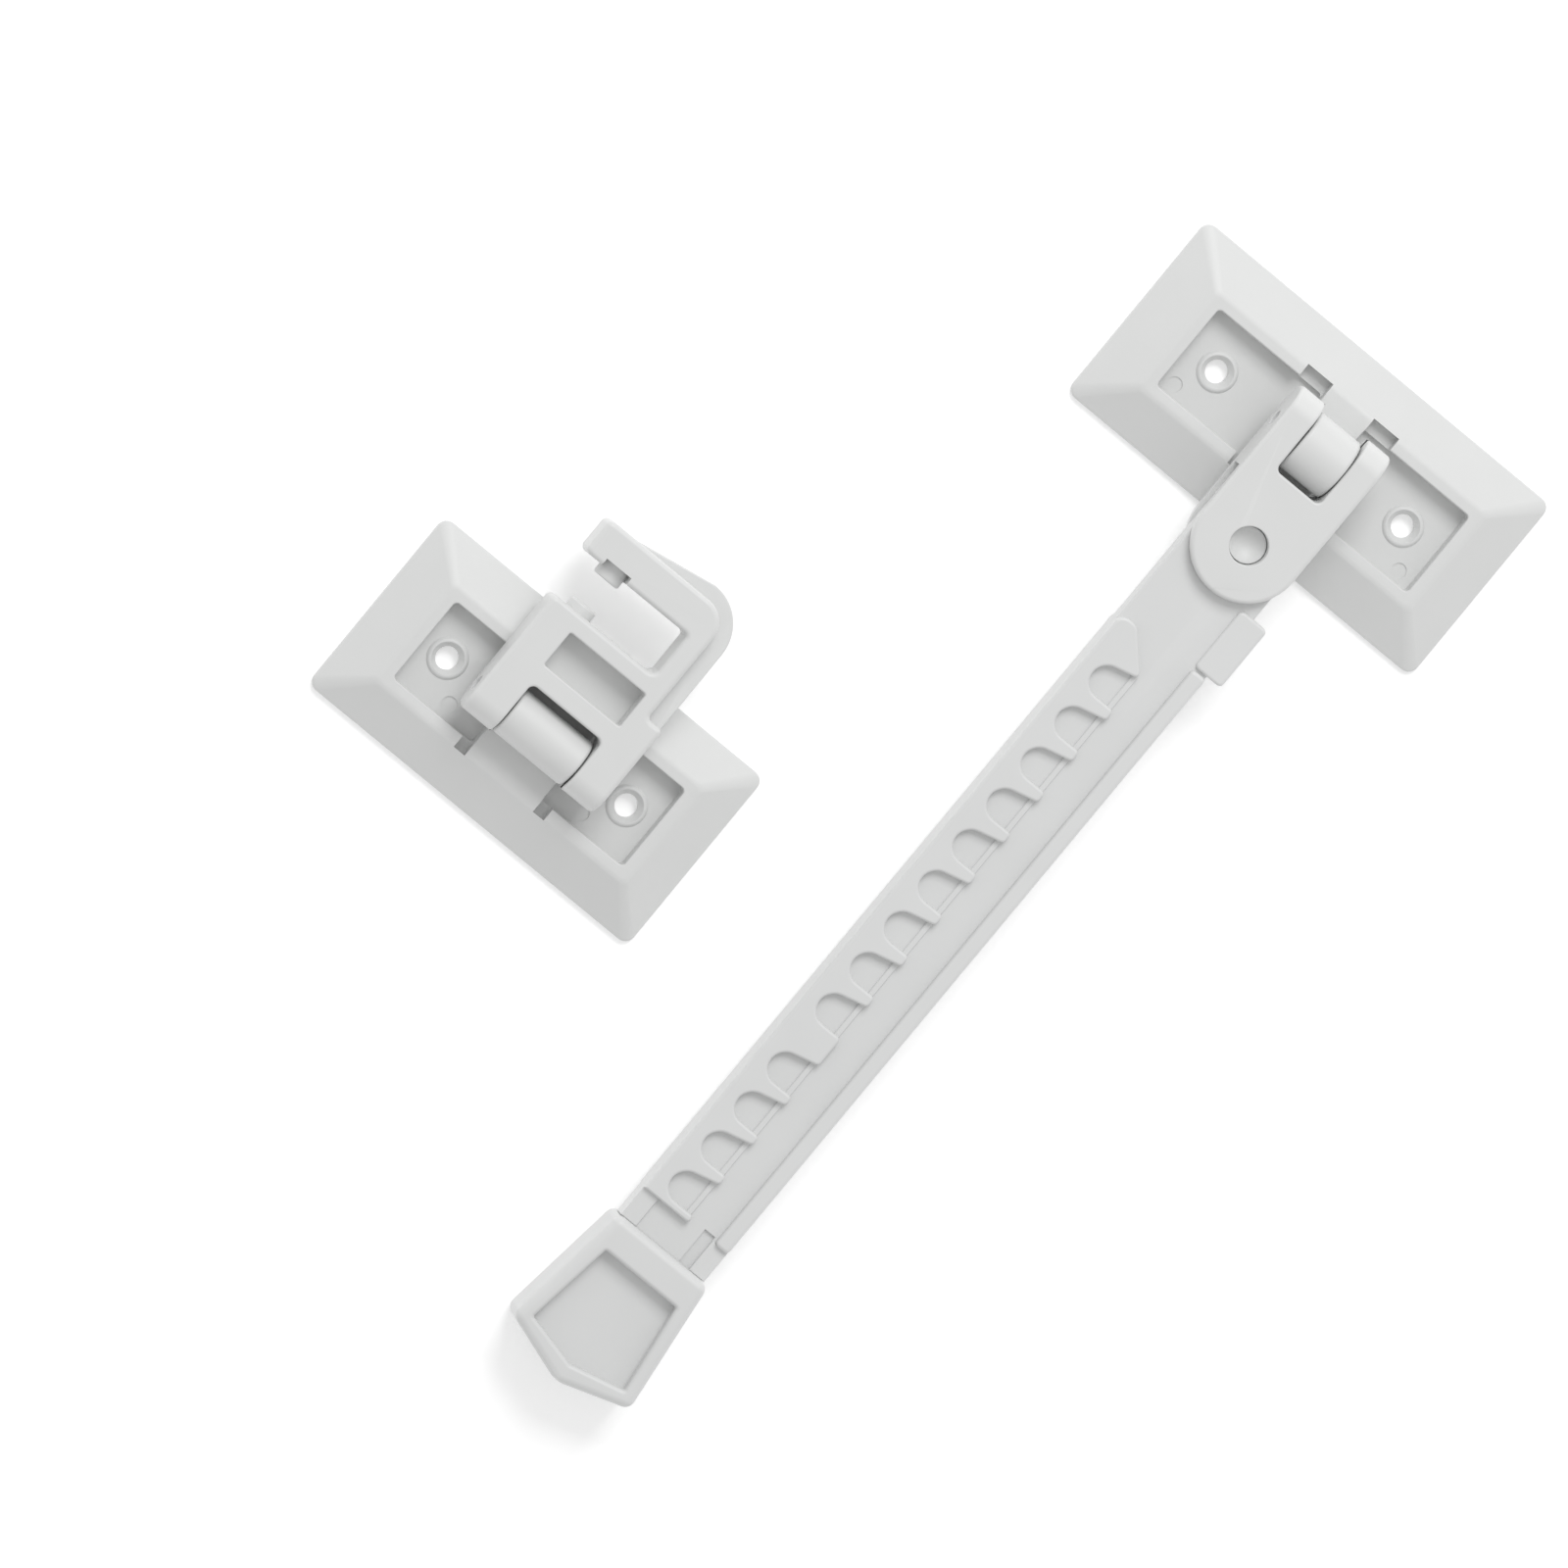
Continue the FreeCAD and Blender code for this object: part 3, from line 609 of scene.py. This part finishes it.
def notched_arm():
    arm = block(
        "notched_arm_bar", (-ARM_HALF, -CAP_START, -WEB_HALF), (ARM_HALF, ARM_HALF, WEB_HALF)
    )
    round_edges(arm, ARM_HALF - 0.002, lambda middle, direction: (
        upright(middle, direction) and middle.y > ARM_HALF - 0.01
    ), 24)
    round_all(arm, 0.4)
    tongue = block("tongue", (-7.5, -CAP_START - 14.0, -WEB_HALF), (7.5, -CAP_START + 0.5, WEB_HALF))
    flange = block("flange", (ARM_HALF - 3.0, -RAIL_END, -ARM_THICK), (ARM_HALF, -23.0, ARM_THICK))
    round_edges(flange, 0.8, upright)
    round_rims(flange, 0.7, [ARM_THICK, -ARM_THICK])
    tab = block("tab", (ARM_HALF - 3.0, -22.5, -3.5), (ARM_HALF + 3.1, -9.5, 3.5))
    round_edges(tab, 0.9, upright)
    round_rims(tab, 0.6, [3.5, -3.5])
    ridge_end, ridge_top = TOOTH_TIPS - 0.3, WEB_HALF + 0.45
    ridge = block(
        "ridge", (ridge_end - 1.1, -NOTCH_PLACES[-1] - RIDGE_REACH, -ridge_top),
        (ridge_end, RIDGE_REACH - NOTCH_PLACES[0], ridge_top),
    )
    round_rims(ridge, 0.25, [ridge_top, -ridge_top], 3)
    left = block("left", (-ARM_HALF, -CAP_START, -3.2), (-ARM_HALF + 3.5, -RAIL_END + 0.2, 3.2))
    right = block("right", (ARM_HALF - 3.5, -CAP_START, -3.2), (ARM_HALF, -RAIL_END + 0.2, 3.2))
    for strip in (left, right):
        round_rims(strip, 0.25, [3.2, -3.2], 3)
    join_on(arm, tongue, flange, tab, ridge, left, right, toothed_rail())
    for low, high in ((WEB_HALF - 0.6, WEB_HALF + PAST), (-WEB_HALF - PAST, 0.6 - WEB_HALF)):
        cut(arm, block("groove", (3.8, -CAP_START - 0.1, low), (6.1, -RAIL_END + PAST, high)))
    cut(arm, rod("bore", 3.35, (0, 0, -6), (0, 0, 6), "z", 64))
    return finish_skin(shift(arm, 0, -PIVOT_DISTANCE))


def end_cap():
    """Five-sided cap, wider towards its end, with a sunk panel and the tongue's socket."""
    thick, side_end = 7.2, -CAP_START - 25.6
    point = side_end - 4.4
    cap = outline_block("end_cap_shell", [
        (-10.3, -CAP_START, 0), (-13.5, side_end, 0), (0, point, 0),
        (13.5, side_end, 0), (10.3, -CAP_START, 0),
    ], -thick, thick)
    round_all(cap, 1.6, 6)
    top_half = 10.3 + 3.2 * 6.4 / 25.6 - 3.0
    panel = [
        (-top_half, -CAP_START - 6.4, 0.4), (-10.5, side_end + 2.1, 0.4), (0, point + 4.0, 0.4),
        (10.5, side_end + 2.1, 0.4), (top_half, -CAP_START - 6.4, 0.4),
    ]
    cut(cap, outline_block("panel", panel, thick - 3.0, thick + PAST))
    cut(cap, outline_block("panel", panel, -thick - PAST, 3.0 - thick))
    round_rims(cap, 0.8, [thick, -thick], 5)
    cut(cap, block(
        "socket", (-7.6, -CAP_START - 14.1, -WEB_HALF - 0.1), (7.6, -CAP_START + PAST, WEB_HALF + 0.1)
    ))
    return finish_skin(shift(cap, 0, -PIVOT_DISTANCE))


# ---------------------------------------------------------------- hook

def hook_bracket():
    """Ears, body with a blind recess, and the C-shaped hook with its rib and two pegs."""
    half, thick, ear = 15.2, 4.9, 4.95
    body_top, arm_low, arm_top = 20.8, 30.0, 37.2
    gap_end, limb_edge, tip, step = 7.7, 11.7, 15.9, 14.2
    peg_radius, peg_x, peg_reach = 2.7, -9.2, 1.75
    hook = outline_block("hook_bracket", [
        (-half, -ear, 0.0), (half, -ear, 0.0), (half, step, 0.0), (limb_edge, step, 0.9),
        (limb_edge, arm_top, 4.9), (-tip, arm_top, 1.2), (-tip, arm_low, 1.2),
        (gap_end, arm_low, 0.8), (gap_end, body_top, 1.4), (-half, body_top, 1.2),
    ], -thick, thick)
    round_edges(hook, 4.0, lambda middle, direction: (
        crosswise(middle, direction) and middle.y < -ear + 0.01
    ), 10)
    round_all(hook, 1.0)
    rib = outline_block("rib", [
        (gap_end + 0.5, step - 1, 0.0), (half, step - 1, 0.0), (half, arm_top + 2.7, 8.7),
        (half - 8.7, arm_top + 2.7, 0.0), (-9.1, arm_top, 0.0), (-9.1, arm_top - 1, 0.0),
        (gap_end + 0.5, arm_top - 1, 0.0),
    ], -1.1, 1.1, 16)
    round_rims(rib, 0.35, [1.1, -1.1], 3)
    join_on(hook, rib)
    window = block("window", (-8.1, -ear - PAST, -thick - PAST), (8.1, 6.1, thick + PAST))
    round_edges(window, 1.2, lambda middle, direction: (
        upright(middle, direction) and middle.y > 6.0
    ), 6)
    recess = block("recess", (-8.65, 10.0, thick - 5.0), (8.65, 17.3, thick + PAST))
    round_edges(recess, 0.4, upright)
    groove = block(
        "groove", (-12.0, arm_low - PAST, -thick - PAST), (-6.4, arm_low + 1.4, thick + PAST)
    )
    cut(hook, window)
    round_edges(hook, 0.5, lambda middle, direction: (
        abs(middle.x) < 8.15 and -ear < middle.y < 6.15 and abs(middle.z) > 1.0
    ), 4)
    cut(hook, recess)
    round_rims(hook, 0.4, [thick], 4, 8.7, (9.9, 17.4))
    cut(hook, groove)
    outer = rod(
        "outer", peg_radius, (peg_x, arm_low - peg_reach, 0), (peg_x, arm_low + 2.4, 0), "y", 48,
    )
    inner = rod(
        "inner", peg_radius, (peg_x, body_top - 1, 0), (peg_x, body_top + peg_reach, 0), "y", 48,
    )
    for peg in (outer, inner):
        round_all(peg, 0.45)
    join_on(hook, outer, inner)
    bore = rod("bore", HINGE_PIN_RADIUS, (-half - PAST, 0, 0), (half + PAST, 0, 0), "x", 48)
    return finish_skin(cut(hook, bore))


# ---------------------------------------------------------------- everything in its place

to_arm_hinge = Matrix.Translation((0, 0, ARM_AXIS_HEIGHT * MM)) @ Matrix.Rotation(
    math.radians(ARM_DROOP), 4, "X"
)
to_catch_hinge = Matrix.Translation([part * MM for part in CATCH_HINGE])

place(arm_base, "arm_base", "arm_mount", base_white)
place(catch_base, "catch_base", "catch_mount", base_white)
place(fork_bracket(), "forked_bracket", "fork", bracket_white, to_arm_hinge)
place(pivot_pin(), "pivot_pin", "fork", bracket_white, to_arm_hinge)
place(
    hinge_wire("arm_hinge_wire", 20.6), "arm_hinge_pin", "fork", pin_steel, to_arm_hinge
)
place(notched_arm(), "notched_arm", "arm", arm_white, to_arm_hinge)
place(end_cap(), "end_cap", "arm", cap_white, to_arm_hinge)
place(
    hinge_wire("catch_hinge_wire", 30.4), "catch_hinge_pin", "catch_hook", pin_steel,
    to_catch_hinge,
)
place(hook_bracket(), "hooked_bracket", "catch_hook", bracket_white, to_catch_hinge)


# ---------------------------------------------------------------- floor, light and camera

LOOK_AT = Vector((-0.0342, -0.1048, 0.0))

deselect()
bpy.ops.mesh.primitive_plane_add(size=6, location=(LOOK_AT.x, LOOK_AT.y, 0))
floor = bpy.context.object
floor.name = "floor"
floor_white = bpy.data.materials.new("floor_white")
floor_white.use_nodes = True
floor_surface = floor_white.node_tree.nodes["Principled BSDF"]
floor_surface.inputs["Base Color"].default_value = (0.97, 0.97, 0.97, 1)
floor_surface.inputs["Roughness"].default_value = 0.9
floor_surface.inputs["Specular IOR Level"].default_value = 0.1
floor_surface.inputs["Emission Color"].default_value = (1.0, 1.0, 1.0, 1)
floor_surface.inputs["Emission Strength"].default_value = 0.22
floor.data.materials.append(floor_white)

sky = bpy.context.scene.world or bpy.data.worlds.new("studio")
bpy.context.scene.world = sky
sky.use_nodes = True
sky.node_tree.nodes["Background"].inputs["Color"].default_value = (1.0, 1.0, 1.0, 1)
sky.node_tree.nodes["Background"].inputs["Strength"].default_value = 0.66


def soft_light(name, place_of, size, energy):
    """A square studio light that looks at the middle of the object."""
    deselect()
    bpy.ops.object.light_add(type="AREA", location=place_of)
    lamp = bpy.context.object
    lamp.name = name
    lamp.data.shape = "SQUARE"
    lamp.data.size = size
    lamp.data.energy = energy
    lamp.rotation_euler = (LOOK_AT - Vector(place_of)).to_track_quat("-Z", "Y").to_euler()


soft_light("window_light", (-0.32, 1.1, 1.42), 0.9, 16.0)

LEAN = math.radians(8.8)        # the camera leans this far towards -X from straight above
LENS, FRAME_WIDTH = 500.0, 0.2769
bpy.ops.object.camera_add()
camera = bpy.context.object
camera.data.lens = LENS
camera.data.sensor_width = 36.0
camera.data.clip_end = 20.0
distance = FRAME_WIDTH * LENS / 36.0
backward = Vector((-math.sin(LEAN), 0, math.cos(LEAN)))
upward = Vector((-0.6404, 0.7680, 0))
upward = (upward - upward.dot(backward) * backward).normalized()
rightward = upward.cross(backward)
camera.matrix_world = Matrix.Translation(LOOK_AT + backward * distance) @ Matrix((
    rightward, upward, backward,
)).transposed().to_4x4()
bpy.context.scene.camera = camera

# Colours are shown as they are, without the default film-like curve.
bpy.context.scene.view_settings.view_transform = "Standard"
